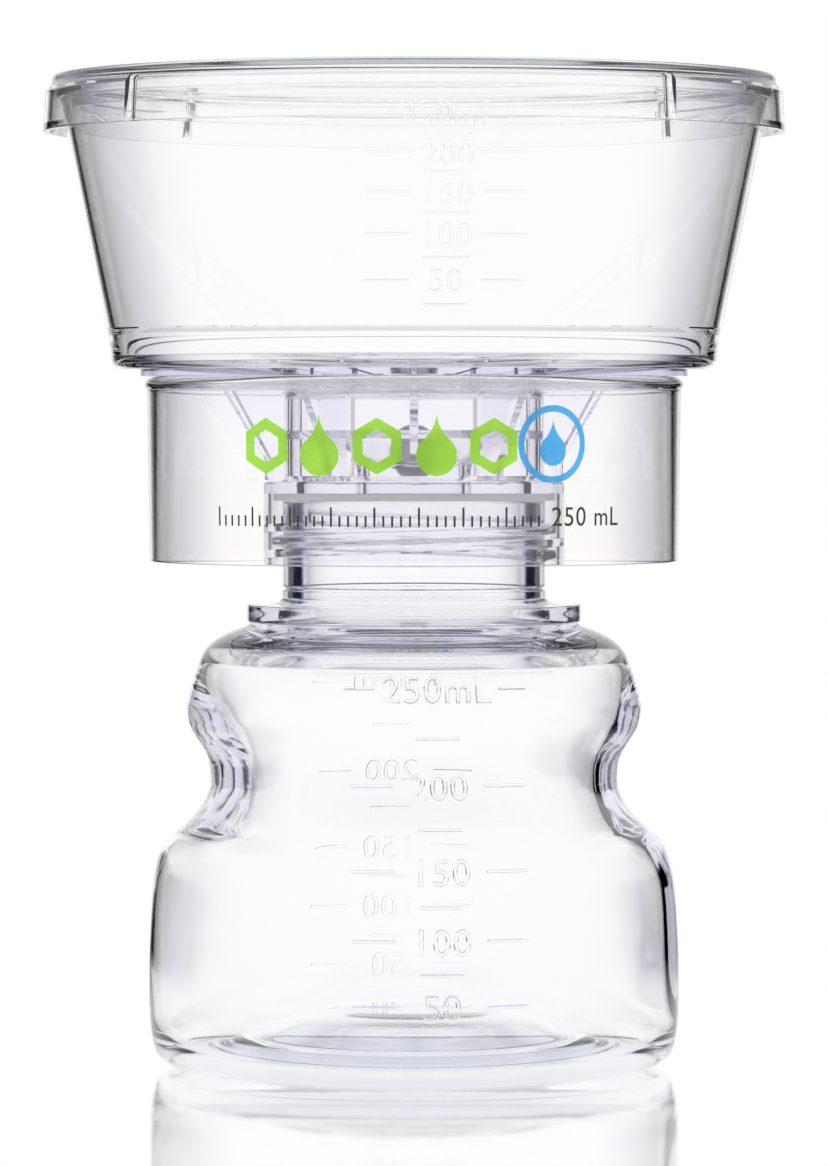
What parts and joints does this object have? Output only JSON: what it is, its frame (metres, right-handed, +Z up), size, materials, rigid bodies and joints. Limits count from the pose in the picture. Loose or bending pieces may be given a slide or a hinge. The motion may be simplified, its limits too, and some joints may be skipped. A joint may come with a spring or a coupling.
{
  "type": "vacuum filtration unit",
  "caption": "Clear lidded funnel on a threaded filter head with a rear vacuum nozzle, screwed onto a clear waisted receiver bottle.",
  "frame": {"origin": "centre of the bottle's standing ring, on the surface it stands on", "axes": "+Z up along the axis of the bottle, head and lid; -Y is the front with the skirt's printed marks; +Y points to the vacuum nozzle at the back"},
  "size_m": [0.1162, 0.1201, 0.1553],
  "materials": {
    "bottle_plastic": "clear blown copolyester with a faint blue toner, glossy",
    "lavender_plastic": "transparent lavender tinted plastic, glossy",
    "skirt_plastic": "clear moulded plastic, glossy",
    "label_film": "translucent cream film, satin",
    "funnel_plastic": "clear polystyrene, glossy",
    "membrane": "white microporous film, matte",
    "seal_rubber": "soft translucent elastomer",
    "wad": "white fibre wad",
    "nozzle_plastic": "natural polypropylene, satin",
    "lid_plastic": "clear polystyrene, glossy"
  },
  "bodies": {
    "bottle": {"receiver_bottle": "bottle_plastic"},
    "seal": {"neck_seal": "seal_rubber"},
    "head": {"filter_base": "lavender_plastic", "skirt": "skirt_plastic", "rear_label": "label_film", "funnel": "funnel_plastic", "membrane": "membrane", "port_filter": "wad", "hose_barb": "nozzle_plastic"},
    "lid": {"lid": "lid_plastic"}
  },
  "joints": [
    {"name": "head_lift", "type": "slide", "parent": "bottle", "child": "seal", "axis": [0, 0, 1], "range_m": [0, 0.008]},
    {"name": "head_turn", "type": "hinge", "parent": "seal", "child": "head", "pos_m": [0, 0, 0.0898], "axis": [0, 0, 1], "range_deg": [0, 720]},
    {"name": "lid_lift", "type": "slide", "parent": "head", "child": "lid", "axis": [0, 0, 1], "range_m": [0, 0.02]}
  ],
  "couplings": [
    {"joint": "head_lift", "follows": "head_turn", "m_per_rad": 0.00063661}
  ]
}
